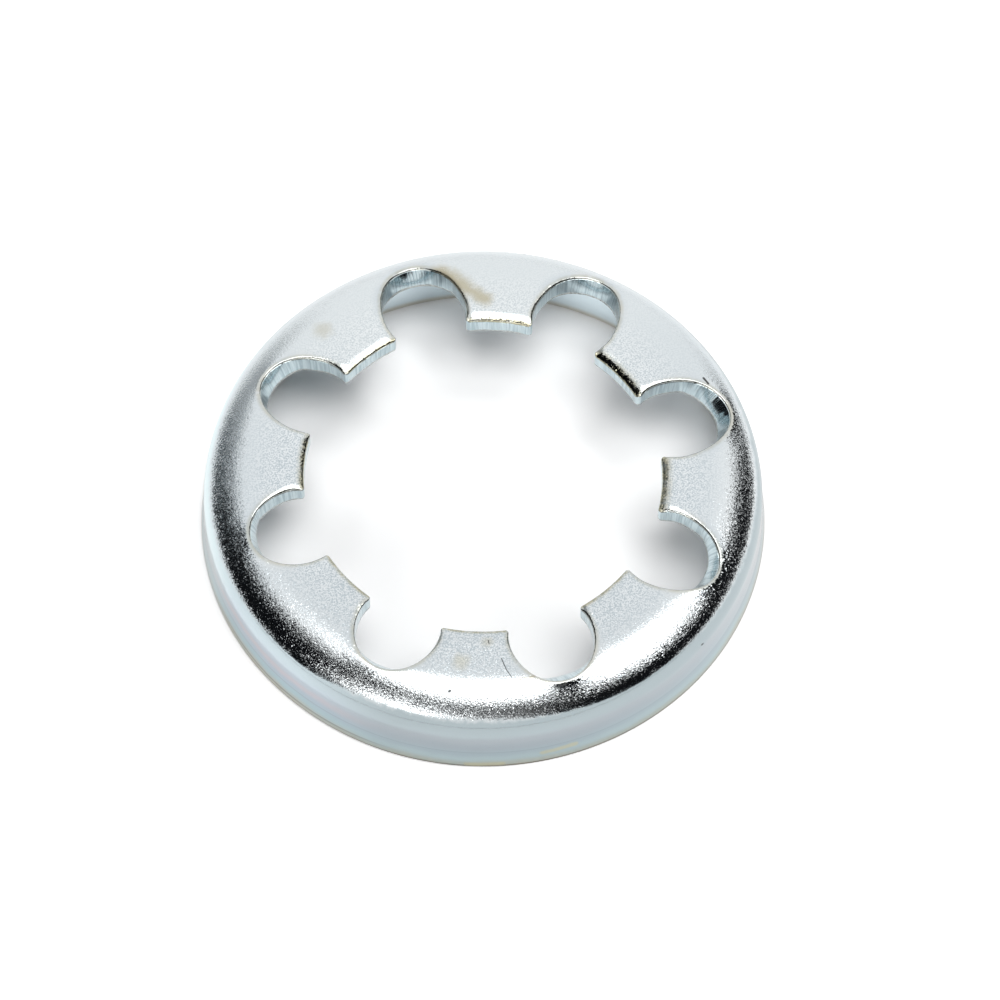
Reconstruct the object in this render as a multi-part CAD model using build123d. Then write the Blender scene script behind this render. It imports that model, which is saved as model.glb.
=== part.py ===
from build123d import *
import math
import os

# Toothed lock washer. One disc of zinc plated steel sheet, pierced with an eight-toothed hole
# and pressed into a shallow cup that stands on its rim with the teeth uppermost.
# Millimetres. +Z is the axis of the washer, Z = 0 is the floor, and one tooth lies along +X.

# Cup, given by the outside of its wall. The corners are those of the section before bending.
sheet = 1.5              # thickness of the steel
rim_radius = 19.0        # at the floor
flare_radius = 18.8      # at the crease below which the skirt opens out towards the rim
flare_height = 1.6
shoulder_radius = 18.69  # corner of the skirt and the sloping band
shoulder_height = 4.6
crown_radius = 16.1      # corner of the sloping band and the ring of teeth
crown_height = 5.87
top_height = 6.16        # upper side of the tooth tips
shoulder_bend = 1.5      # outside radius, as tight as the sheet allows: the inside is sharp
crown_bend = 3.4
rim_break = 0.2          # bevel of the trimmed outer edge

# Toothed hole
tooth_count = 8
tip_radius = 12.0        # circle that the tooth tips lie on, true about the axis
tip_corner = 0.35        # rounding of the tooth corners
edge_bevel = 0.2         # easing of the upper edges, on the side that the punch came from

# Notches, as they lie on the upper side of the cup
notch_centre = 13.2      # radius at which a notch is widest
notch_width = 5.62
notch_end = 16.8         # radius that a notch reaches
notch_lean = 31.0        # its end wall is square to the sheet, so it leans outwards, in degrees

# The blank was pierced a little off centre before it was pressed. On the side of pull_angle
# the notches lie further out, reach deeper and lean more, and on the other side less.
pull_angle = 45.0
ring_shift = 0.32
end_pull = 0.36
lean_pull = 9.0

tooth_slope = (top_height - crown_height) / (crown_radius - tip_radius)
band_slope = (crown_height - shoulder_height) / (shoulder_radius - crown_radius)
flare_slope = (rim_radius - flare_radius) / flare_height
tolerance = 0.001


def plain_cup():
    """The pressed cup with a small round hole: a section of even thickness, trimmed level."""
    start_radius = tip_radius / 2
    start_height = top_height + (tip_radius - start_radius) * tooth_slope
    with BuildPart() as cup:
        with BuildSketch(Plane.XZ):
            with BuildLine():
                outside = Polyline(
                    (rim_radius + sheet * flare_slope, -sheet),
                    (flare_radius, flare_height),
                    (shoulder_radius, shoulder_height),
                    (crown_radius, crown_height),
                    (start_radius, start_height),
                )
                shoulder, crown = outside.vertices().sort_by(Axis.Z)[2:4]
                fillet(shoulder, radius=shoulder_bend)
                fillet(crown, radius=crown_bend)
                offset(amount=sheet, side=Side.LEFT, kind=Kind.INTERSECTION)
            make_face()
        revolve(axis=Axis.Z)
        split(bisect_by=Plane.XY, keep=Keep.TOP)
        trimmed_edges = cup.faces().sort_by(Axis.Z)[0].edges()
        chamfer(trimmed_edges.sort_by(SortBy.RADIUS)[-1], length=rim_break)
    return cup.part


def band_height(radius):
    """Height of the sloping band at a radius."""
    return crown_height - (radius - crown_radius) * band_slope


def notch_tool(angle):
    """Leaning tool for the notch at an angle: round on its inner side, a longer oval outwards."""
    pull = math.cos(math.radians(angle - pull_angle))
    lean = math.radians(notch_lean + lean_pull * pull)
    end = notch_end + end_pull * pull
    end_at_floor = end - band_height(end + ring_shift * pull) * math.tan(lean)
    centre_at_floor = notch_centre - top_height * math.tan(lean)
    reach = end_at_floor - centre_at_floor
    half_width = notch_width / 2
    with BuildPart() as tool:
        with BuildSketch():
            with BuildLine(Location((centre_at_floor, 0))):
                EllipticalCenterArc((0, 0), reach, half_width, start_angle=-90, arc_size=180)
                CenterArc((0, 0), half_width, start_angle=90, arc_size=180)
            make_face()
        extrude(amount=2 * top_height, dir=(math.sin(lean), 0, math.cos(lean)))
    return tool.part


def pierce(cup):
    """Cuts the round hole and the ring of notches around it."""
    off_centre = Vector(ring_shift, 0).rotate(Axis.Z, pull_angle)
    pierced = cup - Cylinder(tip_radius, 4 * top_height)
    for notch in range(tooth_count):
        angle = (notch + 0.5) * 360 / tooth_count
        pierced -= Pos(off_centre) * Rot(Z=angle) * notch_tool(angle)
    return pierced


def is_tooth_corner(edge):
    """True for the upright edge between the tip of a tooth and the wall of a notch."""
    ends = edge.vertices()
    on_tip_circle = all(abs(math.hypot(end.X, end.Y) - tip_radius) < tolerance for end in ends)
    return on_tip_circle and abs(ends[0].Z - ends[-1].Z) > sheet / 2


def is_upper_hole_edge(edge):
    """True for the upper edge of the toothed hole, and not for bend lines or the seam on +X."""
    lowest = band_height(notch_end + end_pull + ring_shift) - edge_bevel
    is_upper = edge.bounding_box().min.Z > lowest
    is_bend_line = edge.geom_type == GeomType.CIRCLE and edge.radius > notch_centre
    is_seam = all(abs(end.Y) < tolerance for end in edge.vertices())
    return is_upper and not is_bend_line and not is_seam


def lock_washer():
    """The whole washer: the cup, its toothed hole, the tooth corners and the eased edge."""
    washer = pierce(plain_cup())
    washer = fillet(washer.edges().filter_by(is_tooth_corner), tip_corner)
    return chamfer(washer.edges().filter_by(is_upper_hole_edge), edge_bevel)


os.makedirs("parts", exist_ok=True)
export_step(lock_washer(), "parts/lock_washer.step")
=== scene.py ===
# %% [markdown]
# # A toothed lock washer, from its frame to its finish
# The washer is one disc of sheet steel, pierced with a toothed hole, pressed into a shallow cup
# and then zinc plated. The frame holds its solid at the true size. This lesson builds a finer skin
# around that solid, because the rolled and broken edges that a punch leaves are what give a
# pressed part away.

# %% Load the frame
import math

import bpy
import numpy as np
from mathutils import Matrix, Vector, kdtree, noise
from mathutils.geometry import delaunay_2d_cdt


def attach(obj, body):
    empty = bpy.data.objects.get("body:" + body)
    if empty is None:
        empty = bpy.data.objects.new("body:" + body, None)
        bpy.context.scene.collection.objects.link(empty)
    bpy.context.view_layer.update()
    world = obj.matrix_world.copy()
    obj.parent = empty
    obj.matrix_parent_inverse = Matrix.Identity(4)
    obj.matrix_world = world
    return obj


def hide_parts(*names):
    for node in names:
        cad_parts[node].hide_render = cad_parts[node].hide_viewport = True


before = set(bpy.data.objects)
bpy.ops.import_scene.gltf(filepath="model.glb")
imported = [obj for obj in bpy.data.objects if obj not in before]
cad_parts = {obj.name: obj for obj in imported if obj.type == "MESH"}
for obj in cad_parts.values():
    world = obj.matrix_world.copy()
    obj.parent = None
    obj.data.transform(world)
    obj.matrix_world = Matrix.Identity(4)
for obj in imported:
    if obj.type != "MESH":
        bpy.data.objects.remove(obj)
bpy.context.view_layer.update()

MM = 0.001

# %% [markdown]
# ## The camera
# A long lens from half a metre looks down on the washer at 60 degrees. The lens could be aimed off
# the middle, but shifting it keeps the ring's ellipse true, so the axis goes through the middle
# of the rim and a small shift places the washer in the frame. Camera and lamps are placed by
# bearing and height, as on a turntable that stands a few degrees round.

# %% Camera
studio_turn = 3.9


def studio_way(bearing, height):
    """Unit vector to a place in the studio, in degrees. The camera's bearing is -90."""
    around, up = math.radians(bearing + studio_turn), math.radians(height)
    return Vector((math.cos(up) * math.cos(around), math.cos(up) * math.sin(around), math.sin(up)))


camera_distance = 507.1 * MM
camera_height = 60.14
to_camera = studio_way(-90, camera_height)
lens = bpy.data.cameras.new("long_lens")
lens.sensor_width = 36.0
lens.lens = 270.8
lens.shift_x = 0.0170
lens.shift_y = 0.0181
lens.clip_start = 0.01
camera = bpy.data.objects.new("long_lens", lens)
camera.location = to_camera * camera_distance
camera.rotation_euler = to_camera.to_track_quat("Z", "Y").to_euler()
bpy.context.scene.collection.objects.link(camera)
bpy.context.scene.camera = camera
print("camera at", [round(v, 4) for v in camera.location])

# %% [markdown]
# ## The section of the cup
# Everything round the washer follows one section: a nearly flat ring of teeth, a crown that bends
# over more and more, a tight shoulder, and a skirt that flares a little towards the rim. A lathe
# profile could be drawn by hand, but corners with bend radii are how a press tool is drawn, and
# they keep every slope right for the reflections.

# %% Bent section lines
line_spacing = 0.01
slope_window = 9
same_place = 1e-5


def bent_line(corners, bends):
    """Points along a line of corners, each rounded by its bend radius."""
    points = [np.array(corners[0], float)]
    for before, corner, after, bend in zip(corners, corners[1:], corners[2:], bends):
        corner = np.array(corner, float)
        back = np.array(before, float) - corner
        on = np.array(after, float) - corner
        back /= np.linalg.norm(back)
        on /= np.linalg.norm(on)
        half = math.acos(np.clip(back @ on, -1, 1)) / 2
        middle = corner + (back + on) / np.linalg.norm(back + on) * bend / math.sin(half)
        start = corner + back * bend / math.tan(half) - middle
        turn = math.pi - 2 * half
        side = math.copysign(1, back[1] * on[0] - back[0] * on[1])
        for share in np.linspace(0, 1, max(2, int(bend * turn / line_spacing))):
            angle = share * turn * side
            turned = (start[0] * math.cos(angle) - start[1] * math.sin(angle),
                      start[0] * math.sin(angle) + start[1] * math.cos(angle))
            points.append(middle + turned)
    points.append(np.array(corners[-1], float))
    points = np.array(points)
    keep = np.r_[True, np.linalg.norm(np.diff(points, axis=0), axis=1) > same_place]
    return points[keep]


def line_table(points, first_length):
    """Length along the line, radius, height and slope, close together, for looking up."""
    lengths = first_length + np.r_[0, np.cumsum(np.linalg.norm(np.diff(points, axis=0), axis=1))]
    even = np.arange(lengths[0], lengths[-1], line_spacing)
    radius = np.interp(even, lengths, points[:, 0])
    height = np.interp(even, lengths, points[:, 1])
    slope = np.arctan2(-np.gradient(height), np.gradient(radius))
    padded = np.pad(slope, slope_window // 2, "edge")
    soft = np.convolve(padded, np.ones(slope_window) / slope_window, "valid")
    return {"length": even, "radius": radius, "height": height, "slope": soft}


print("sections are followed in steps of", line_spacing, "mm")

# %% [markdown]
# The outside is set out by the corners of its section, each with the radius of its bend. The rim
# stands on the floor, and the crown is drawn further in than the teeth reach.

# %% Outer section
section_start = (10.0, 6.30)
crown_corner = (16.7, 5.82)
shoulder_corner = (18.69, 4.44)
skirt_crease = (18.8, 1.6)
rim_foot = (19.0, 0.0)
outer_corners = [section_start, crown_corner, shoulder_corner, skirt_crease, rim_foot]
outer_bends = [5.0, 2.0, 0.6]
outer_points = bent_line(outer_corners, outer_bends)
outer = line_table(outer_points, section_start[0])
print("outer section:", len(outer_points), "points,", round(outer["length"][-1], 2), "mm long")

# %% [markdown]
# The underside is the same line set in by the thickness of the sheet. Offsetting every point would
# fold up in the tight inner corner, so the straight runs are set in and meet in new corners.

# %% Inner section
sheet = 1.5
inner_bends = [3.5, 0.5, 2.1]


def set_in(corners, distance):
    """The corners of a section moved in by a distance, found where the moved runs cross."""
    corners = [np.array(c, float) for c in corners]
    runs = []
    for a, b in zip(corners, corners[1:]):
        way = (b - a) / np.linalg.norm(b - a)
        inward = np.array((way[1], -way[0]))
        runs.append((a + inward * distance, way))
    moved = [runs[0][0]]
    for (p, u), (q, v) in zip(runs, runs[1:]):
        t = np.linalg.solve(np.array((u, -v)).T, q - p)[0]
        moved.append(p + u * t)
    last, way = runs[-1]
    moved.append(last + way * (-last[1] / way[1]))
    return moved


inner_points = bent_line(set_in(outer_corners, sheet), inner_bends)
inner = line_table(inner_points, section_start[0])
print("the rim is", round(outer_points[-1][0] - inner_points[-1][0], 3), "mm wide")

# %% [markdown]
# Above the skirt the radius only grows along the section, so there a table can be read by radius.

# %% Crown and ceiling
crown_foot, ceiling_foot = 3.0, 2.2


def look_up(table, what, by, value):
    """A column of a section table, read by another column that only grows."""
    return np.interp(value, table[by], table[what])


crown = {name: column[outer["height"] > crown_foot] for name, column in outer.items()}
ceiling = {name: column[inner["height"] > ceiling_foot] for name, column in inner.items()}
print("crown:", len(crown["radius"]), "lines, ceiling:", len(ceiling["radius"]), "lines")

# %% [markdown]
# ## The toothed hole
# A punch makes the hole in the flat: a circle for the tooth tips and eight notches around it. Each
# notch is round towards the middle and a longer oval outwards, and the ring of notches sits a
# little off the middle, so that they reach further on one side. A boolean could cut this, but an
# outline worked out piece by piece gives evenly spaced points, which the rolled edge needs.

# %% Sizes of the hole
tooth_count = 8
tooth_pitch = 360 / tooth_count
tip_radius = 12.0
notch_centre = 13.21
notch_half_width = 2.81
notch_reach = 3.60
off_centre_angle = math.radians(36)
off_centre = 0.33 * np.array((math.cos(off_centre_angle), math.sin(off_centre_angle)))
reach_swing = 0.39
swing_angle = math.radians(64)
# What the press did to single notches, counted round from the one at half a tooth pitch.
notch_shifts = (-0.16, 0.0, 0.0, 0.0, 0.0, 0.0, 0.0, -0.05)
notch_extras = (0.10, 0.0, 0.0, 0.0, 0.0, 0.0, 0.0, 0.04)
reach_extras = (0.0, -0.04, 0.0, 0.0, 0.0, 0.0, 0.0, 0.17)
corner_round = 0.24
print(tooth_count, "notches,", 2 * notch_half_width, "mm wide, round a hole of", 2 * tip_radius, "mm")

# %% Arcs of the outline
point_spacing = 0.1


def arc_points(centre, radii, start, end, way_out=0.0, spacing=point_spacing):
    """Points along part of an ellipse, whose first radius lies along way_out. The end is left out."""
    count = max(3, math.ceil(abs(end - start) * sum(radii) / 2 / spacing))
    angles = np.linspace(start, end, count, endpoint=False)
    along, across = radii[0] * np.cos(angles), radii[1] * np.sin(angles)
    c, s = math.cos(way_out), math.sin(way_out)
    return np.c_[centre[0] + along * c - across * s, centre[1] + along * s + across * c]


def angle_of(vector):
    """Angle of a vector in plan."""
    return math.atan2(vector[1], vector[0])


def corner_centre(middle, half_width, side):
    """Centre of the rounding that touches the tip circle and the round part of a notch."""
    reach_tip, reach_notch = tip_radius + corner_round, half_width + corner_round
    gap = np.linalg.norm(middle)
    along = (reach_tip ** 2 - reach_notch ** 2 + gap ** 2) / (2 * gap)
    across = math.sqrt(reach_tip ** 2 - along ** 2)
    way = middle / gap
    return way * along + side * across * np.array((-way[1], way[0]))


def rounding(centre, first_way, last_way):
    """Points of a tooth corner, clockwise about its centre from one way to the other."""
    start = angle_of(first_way)
    turn = (start - angle_of(last_way)) % (2 * math.pi)
    radii = (corner_round, corner_round)
    return arc_points(centre, radii, start, start - turn, spacing=point_spacing / 2)


print("points of the outline are", point_spacing, "mm apart, and half of that on the corners")

# %% Notches and teeth
def notch_plans():
    """Way out, middle, half width and reach of each notch, and the centres of its two corners."""
    plans = []
    for number in range(tooth_count):
        way = math.radians((number + 0.5) * tooth_pitch)
        middle = off_centre + notch_centre * np.array((math.cos(way), math.sin(way)))
        middle += notch_shifts[number] * np.array((-math.sin(way), math.cos(way)))
        half_width = notch_half_width + notch_extras[number]
        reach = notch_reach + reach_swing * math.cos(way - swing_angle) + reach_extras[number]
        corners = [corner_centre(middle, half_width, side) for side in (-1, 1)]
        plans.append((way, middle, half_width, reach, *corners))
    return plans


def hole_outline():
    """The closed outline of the toothed hole, anticlockwise, and the kind of each of its points."""
    quarter = math.pi / 2
    plans = notch_plans()
    next_firsts = [plan[4] for plan in plans[1:] + plans[:1]]
    pieces = []
    for (way, middle, half_width, reach, first, last), next_first in zip(plans, next_firsts):
        turn_in = (angle_of(first - middle) - way) % (2 * math.pi)
        turn_out = (angle_of(last - middle) - way) % (2 * math.pi)
        round_radii = (half_width, half_width)
        pieces.append(("corner", rounding(first, -first, middle - first)))
        pieces.append(("notch", arc_points(middle, round_radii, turn_in, 3 * quarter, way)))
        pieces.append(("notch", arc_points(middle, (reach, half_width), -quarter, quarter, way)))
        pieces.append(("notch", arc_points(middle, round_radii, quarter, turn_out, way)))
        pieces.append(("corner", rounding(last, middle - last, -last)))
        begin = angle_of(last)
        width = (angle_of(next_first) - begin) % (2 * math.pi)
        pieces.append(("tip", arc_points((0, 0), (tip_radius, tip_radius), begin, begin + width)))
    kinds = np.concatenate([np.full(len(points), kind) for kind, points in pieces])
    return np.vstack([points for _, points in pieces]), kinds


outline, outline_kind = hole_outline()
outline_radius = np.hypot(*outline.T)
print("hole outline:", len(outline), "points, from", round(outline_radius.min(), 3), "to",
      round(outline_radius.max(), 3), "mm from the axis")

# %% [markdown]
# ## Working in the flat
# The crown is nearly a flat sheet that was bent, so distances along the steel are measured in the
# flat: each point goes to its length along the section and its angle. There the edge can be offset
# and the surface triangulated in two dimensions, and then everything is bent back.

# %% To the flat and back
def to_flat(points, table):
    """Points in plan laid out flat by their length along the section."""
    radius = np.hypot(*points.T)
    return points * (look_up(table, "length", "radius", radius) / radius)[:, None]


def bend_back(points, table, drop=None):
    """Flat points bent to the section, sunk by drop along the normal of the sheet."""
    length = np.hypot(*points.T)
    way = points / length[:, None]
    slope = look_up(table, "slope", "length", length)
    drop = np.zeros(len(points)) if drop is None else drop
    radius = look_up(table, "radius", "length", length) - drop * np.sin(slope)
    height = look_up(table, "height", "length", length) - drop * np.cos(slope)
    return np.c_[way * radius[:, None], height]


flat_outline = to_flat(outline, crown)
print("flat outline reaches", round(np.hypot(*flat_outline.T).max(), 3), "mm")

# %% [markdown]
# How far a point is from the edge decides how deep it is drawn down and how it is coated. A search
# tree of the outline, filled in between its points, answers that for thousands of points.

# %% Distances to the edge
shares_between = (0, 0.2, 0.4, 0.6, 0.8)


def edge_tree(loop, chosen=None):
    """A search tree of the closed loop, or of the chosen stretches, filled in between its points."""
    chosen = np.ones(len(loop), bool) if chosen is None else chosen
    following = np.roll(loop, -1, axis=0)
    tree = kdtree.KDTree(len(shares_between) * int(chosen.sum()))
    for number in np.flatnonzero(chosen):
        for share in shares_between:
            x, y = loop[number] + (following[number] - loop[number]) * share
            tree.insert((x, y, 0), int(number))
    tree.balance()
    return tree


def distances(points, tree):
    """Distance of each point to the loop, and the number of the loop point beside it."""
    found = [tree.find((x, y, 0)) for x, y in points]
    return np.array([f[2] for f in found]), np.array([f[1] for f in found])


def into_steel(loop):
    """Unit normals of the anticlockwise loop, pointing away from the hole."""
    along = np.roll(loop, -1, axis=0) - np.roll(loop, 1, axis=0)
    along /= np.linalg.norm(along, axis=1)[:, None]
    return np.c_[along[:, 1], -along[:, 0]]


flat_tree = edge_tree(flat_outline)
steel_side = into_steel(flat_outline)
print("edge tree:", len(shares_between) * len(flat_outline), "points")

# %% [markdown]
# ## The rolled edge
# The punch draws the upper surface down before it cuts. Tips and notches each have such a roll,
# nearly a millimetre wide on the teeth and narrow where the steel was stretched over the shoulder,
# and both add up at the corners of the teeth, which droop. A bevel modifier would round every edge
# alike, so here the roll follows from the distances to the tip and to the notch, and the last
# tenth of a millimetre is a tight round of its own.

# %% Width and depth of the roll
def ease(low, high, value):
    """Soft step from zero to one as a value passes from low to high."""
    share = np.clip((value - low) / (high - low), 0, 1)
    return share * share * (3 - 2 * share)


outline_angle = np.degrees(np.arctan2(outline[:, 1], outline[:, 0]))


def beside(angle, middle, width):
    """One near an angle, falling to nothing over a width, all in degrees."""
    away = (angle - middle + 180) % 360 - 180
    return np.exp(-(away / width) ** 2)


tip_roll_width = 0.92
tip_roll_depths = np.array((0.37, 0.42, 0.31, 0.27, 0.34, 0.26, 0.26, 0.28))
outward = ease(tip_radius, 15.4, outline_radius)
at_far_side = beside(outline_angle, 92, 42)
notch_roll_width = 0.56 - 0.36 * outward * (1 - 0.5 * at_far_side)
notch_roll_depth = 0.17 - 0.12 * outward * (1 - 0.6 * at_far_side)
flat_web = beside(outline_angle, -122, 9)
notch_roll_depth *= 1 - 0.75 * flat_web
print("roll of the tips:", tip_roll_width, "mm wide, of the notches:", round(notch_roll_width.min(), 2), "to",
      round(notch_roll_width.max(), 2))

# %% Roll and tight round
break_width = 0.11
break_depth = 0.07


def drawn_down(distance, width, depth):
    """How far the roll lowers the surface at a distance from its edge."""
    return depth * np.clip(1 - distance / width, 0, 1) ** 2


def broken(distance):
    """How far the tight round at the very edge lowers the surface."""
    across = np.clip(1 - distance / break_width, 0, 1)
    return break_depth * (1 - np.sqrt(1 - across ** 2))


def rings_along(loop, inward, steps):
    """Each step's distance, and the ring of points that far from the loop."""
    return [(step, loop + inward * step) for step in steps]


round_steps = [break_width * (1 - math.cos(math.radians(angle))) for angle in range(0, 91, 15)]
roll_steps = [0.15, 0.21, 0.29, 0.38]
roll_rings = rings_along(flat_outline, steel_side, round_steps + roll_steps)
print("rolled edge:", len(roll_rings), "rings")

# %% [markdown]
# ## The upper skin
# Rings beside the edge and an even lattice in the open fill the flat sheet with points. A Delaunay
# triangulation joins them and keeps both loops as borders. Points of a ring that have come nearer
# to another part of the edge, as at the corners of the teeth, are left out.

# %% Points for the flat
row_step, shaken_by = 0.87, 0.12


def lattice(inner_radius, outer_radius, spacing, seed):
    """Rings of evenly spread points between two radii, a little shaken so that no rows show."""
    shake = np.random.default_rng(seed)
    points = []
    for row, radius in enumerate(np.arange(inner_radius, outer_radius, spacing * row_step)):
        count = int(2 * math.pi * radius / spacing)
        angles = (np.arange(count) + 0.5 * (row % 2)) * 2 * math.pi / count
        points.append(radius * np.c_[np.cos(angles), np.sin(angles)])
    points = np.vstack(points)
    return points + shake.uniform(-shaken_by, shaken_by, points.shape) * spacing


def inside_loop(points, loop):
    """True for the points that lie inside the closed loop."""
    x, y = points.T
    crossed = np.zeros(len(points), bool)
    for (ax, ay), (bx, by) in zip(loop, np.roll(loop, -1, axis=0)):
        if ay == by:
            continue
        spans = (ay > y) != (by > y)
        crossed ^= spans & (x < ax + (y - ay) * (bx - ax) / (by - ay))
    return crossed


turn_count = 480
turn_angles = np.linspace(0, 2 * math.pi, turn_count, endpoint=False)
turn_ways = np.c_[np.cos(turn_angles), np.sin(turn_angles)]
print("each round border has", turn_count, "points")

# %% Triangulate in the flat
ring_keeps_off = 0.985
merging_distance = 1e-7


def skin_between(hole, hole_tree, rings, border, filling, clear):
    """Flat points and triangles between a hole and a border, from rings and an even filling."""
    kept = [hole]
    for distance, ring in rings[1:]:
        near, _ = distances(ring, hole_tree)
        kept.append(ring[near > ring_keeps_off * distance])
    near, _ = distances(filling, hole_tree)
    outside = ~inside_loop(filling, hole)
    kept.append(filling[(near > clear) & outside])
    kept.append(border)
    points = np.vstack(kept)
    first, last = len(points) - len(border), len(points)
    loops = [(i, (i + 1) % len(hole)) for i in range(len(hole))]
    loops += [(first + i, first + (i + 1) % len(border)) for i in range(len(border))]
    solved = delaunay_2d_cdt([Vector(p) for p in points], loops, [], 0, merging_distance)
    triangles = np.array([t for t in solved[2] if len(t) == 3])
    new_points = np.array([tuple(p) for p in solved[0]])
    if len(new_points) != len(points):
        raise ValueError("the triangulation merged or added points")
    all_hole = (triangles < len(hole)).all(axis=1)
    in_hole = np.zeros(len(triangles), bool)
    middles = points[triangles[all_hole]].mean(axis=1)
    in_hole[all_hole] = inside_loop(middles, hole)
    past_border = (triangles >= first).all(axis=1)
    return points, triangles[~in_hole & ~past_border], first


crown_spacing = 0.2
crown_border_radius = 18.1
crown_border_length = float(look_up(crown, "length", "radius", crown_border_radius))
crown_filling = lattice(tip_radius + 0.4, crown_border_length - 0.12, crown_spacing, seed=4)
crown_flat, crown_triangles, crown_border_first = skin_between(
    flat_outline, flat_tree, roll_rings, turn_ways * crown_border_length, crown_filling, clear=0.5)
print("upper skin:", len(crown_flat), "points,", len(crown_triangles), "triangles")

# %% [markdown]
# Now the flat skin is bent back and its edge drawn down. Behind five notches only a narrow web is
# left before the shoulder. The die bent these webs a little more steeply, which a reflection
# shows at once, so their edge stands up by a tenth of a millimetre or so.

# %% Draw the edge down
# Middle and width of each web in degrees, and the height by which its edge stands up.
steep_webs = ((-65, 8, 0.15), (-122, 9, 0.165), (-161, 8, 0.09), (-29, 8, 0.06), (14, 6, 0.06))
web_width = 1.25
edge_distance, _ = distances(crown_flat, flat_tree)
edge_distance[:len(outline)] = 0
tip_distance, _ = distances(crown_flat, edge_tree(flat_outline, outline_kind == "tip"))
notch_distance, notch_point = distances(crown_flat, edge_tree(flat_outline, outline_kind == "notch"))
flat_angle = np.degrees(np.arctan2(crown_flat[:, 1], crown_flat[:, 0]))
tooth_beside = np.round(flat_angle / tooth_pitch).astype(int) % tooth_count
crown_drop = drawn_down(tip_distance, tip_roll_width, tip_roll_depths[tooth_beside])
crown_drop += drawn_down(notch_distance, notch_roll_width[notch_point], notch_roll_depth[notch_point])
crown_drop += broken(edge_distance)
web_lift = sum(lift * beside(flat_angle, middle, width) for middle, width, lift in steep_webs)
web_lift *= ease(15.6, 16.6, np.hypot(*crown_flat.T))
crown_drop -= drawn_down(notch_distance, web_width, web_lift)
crown_points = bend_back(crown_flat, crown, crown_drop)
print("the corners of the teeth droop by up to", round(crown_drop.max(), 2), "mm")

# %% [markdown]
# ## The cut walls
# Below the roll the punch shears a smooth wall, and near the bottom the steel tears and leaves a
# matt, ragged band. The walls stood square to the flat sheet, so after pressing they lean out with
# the crown: hardly on the teeth, and by 30 or 40 degrees at the outer ends of the notches. A
# straight extrusion can't lean by place, so each point of the edge gets its own direction.

# %% Lean of the walls
# Middle and width of three stretches in degrees, and how much more or less their outer walls lean.
lean_extras = ((-90, 44, 1.1), (112, 16, -0.2), (67, 16, -0.55))
edge_slope = look_up(crown, "slope", "radius", outline_radius)
more_lean = sum(extra * beside(outline_angle, middle, width) for middle, width, extra in lean_extras)
lean_share = 0.45 + ease(12.2, 14.5, outline_radius)
lean_share += ease(14.2, 16.0, outline_radius) * more_lean
lean = lean_share * edge_slope
edge_way = outline / outline_radius[:, None]
down = np.c_[-edge_way * np.sin(lean)[:, None], -np.cos(lean)]
wall_top = crown_points[:len(outline)]


def wall_length(tops, directions):
    """How far each point goes along its direction before it meets the underside, by halving."""
    low, high = np.zeros(len(tops)), np.full(len(tops), 2.2 * sheet)
    for _ in range(30):
        middle = (low + high) / 2
        at = tops + directions * middle[:, None]
        above = at[:, 2] > look_up(ceiling, "height", "radius", np.hypot(at[:, 0], at[:, 1]))
        low, high = np.where(above, middle, low), np.where(above, high, middle)
    return (low + high) / 2


wall_drop = wall_length(wall_top, down)
print("walls are", round(wall_drop.min(), 2), "to", round(wall_drop.max(), 2), "mm tall and lean up to",
      round(math.degrees(lean.max())), "degrees")

# %% Walls from the rolled edge to the underside
def ragged(points, scale, seed):
    """Smooth noise between -1 and 1 at each point."""
    return np.array([noise.noise(Vector(p) * scale + Vector((seed, 0, 0))) for p in points])


wall_shares = (0.04, 0.1, 0.2, 0.32, 0.45, 0.58, 0.68, 0.75, 0.81, 0.87, 0.93, 1.0)
wall_bulge = 0.5
torn_step, torn_widening, torn_roughness = 0.02, 0.045, 0.016
tear_starts = 0.84 + 0.08 * ragged(wall_top, 0.9, 3.0)
plan_side = into_steel(outline)
wall_rows = []
for share in wall_shares:
    across = share + wall_bulge * share * (1 - share)
    row = wall_top + down * np.c_[wall_drop * across, wall_drop * across, wall_drop * share]
    torn = ease(0.0, 0.12, share - tear_starts)
    set_back = torn_step + torn_widening * (share - tear_starts) + torn_roughness * ragged(row, 5.5, 7.0)
    set_back *= torn
    wall_rows.append(row + np.c_[plan_side * np.reshape(set_back, (-1, 1)), np.zeros(len(row))])
under_radius = np.hypot(wall_rows[-1][:, 0], wall_rows[-1][:, 1])
wall_rows[-1][:, 2] = look_up(ceiling, "height", "radius", under_radius)
print("torn band:", round(1 - tear_starts.max(), 2), "to", round(1 - tear_starts.min(), 2), "of the wall")

# %% [markdown]
# The scores on the walls are noise, and noise needs a place that runs along the edge without a
# seam. So the length along the edge is wound onto a circle of the same length, and that place is
# stored with each point of the walls.

# %% Place along the edge
edge_steps = np.linalg.norm(np.roll(outline, -1, axis=0) - outline, axis=1)
edge_length = edge_steps.sum()
edge_turn = (np.cumsum(edge_steps) - edge_steps) * 2 * math.pi / edge_length
edge_loop = np.c_[np.cos(edge_turn), np.sin(edge_turn)] * edge_length / (2 * math.pi)
print("the edge is", round(edge_length, 1), "mm long")

# %% [markdown]
# The underside is triangulated in its own flat, with a coarser filling, because it is smooth.

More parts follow.
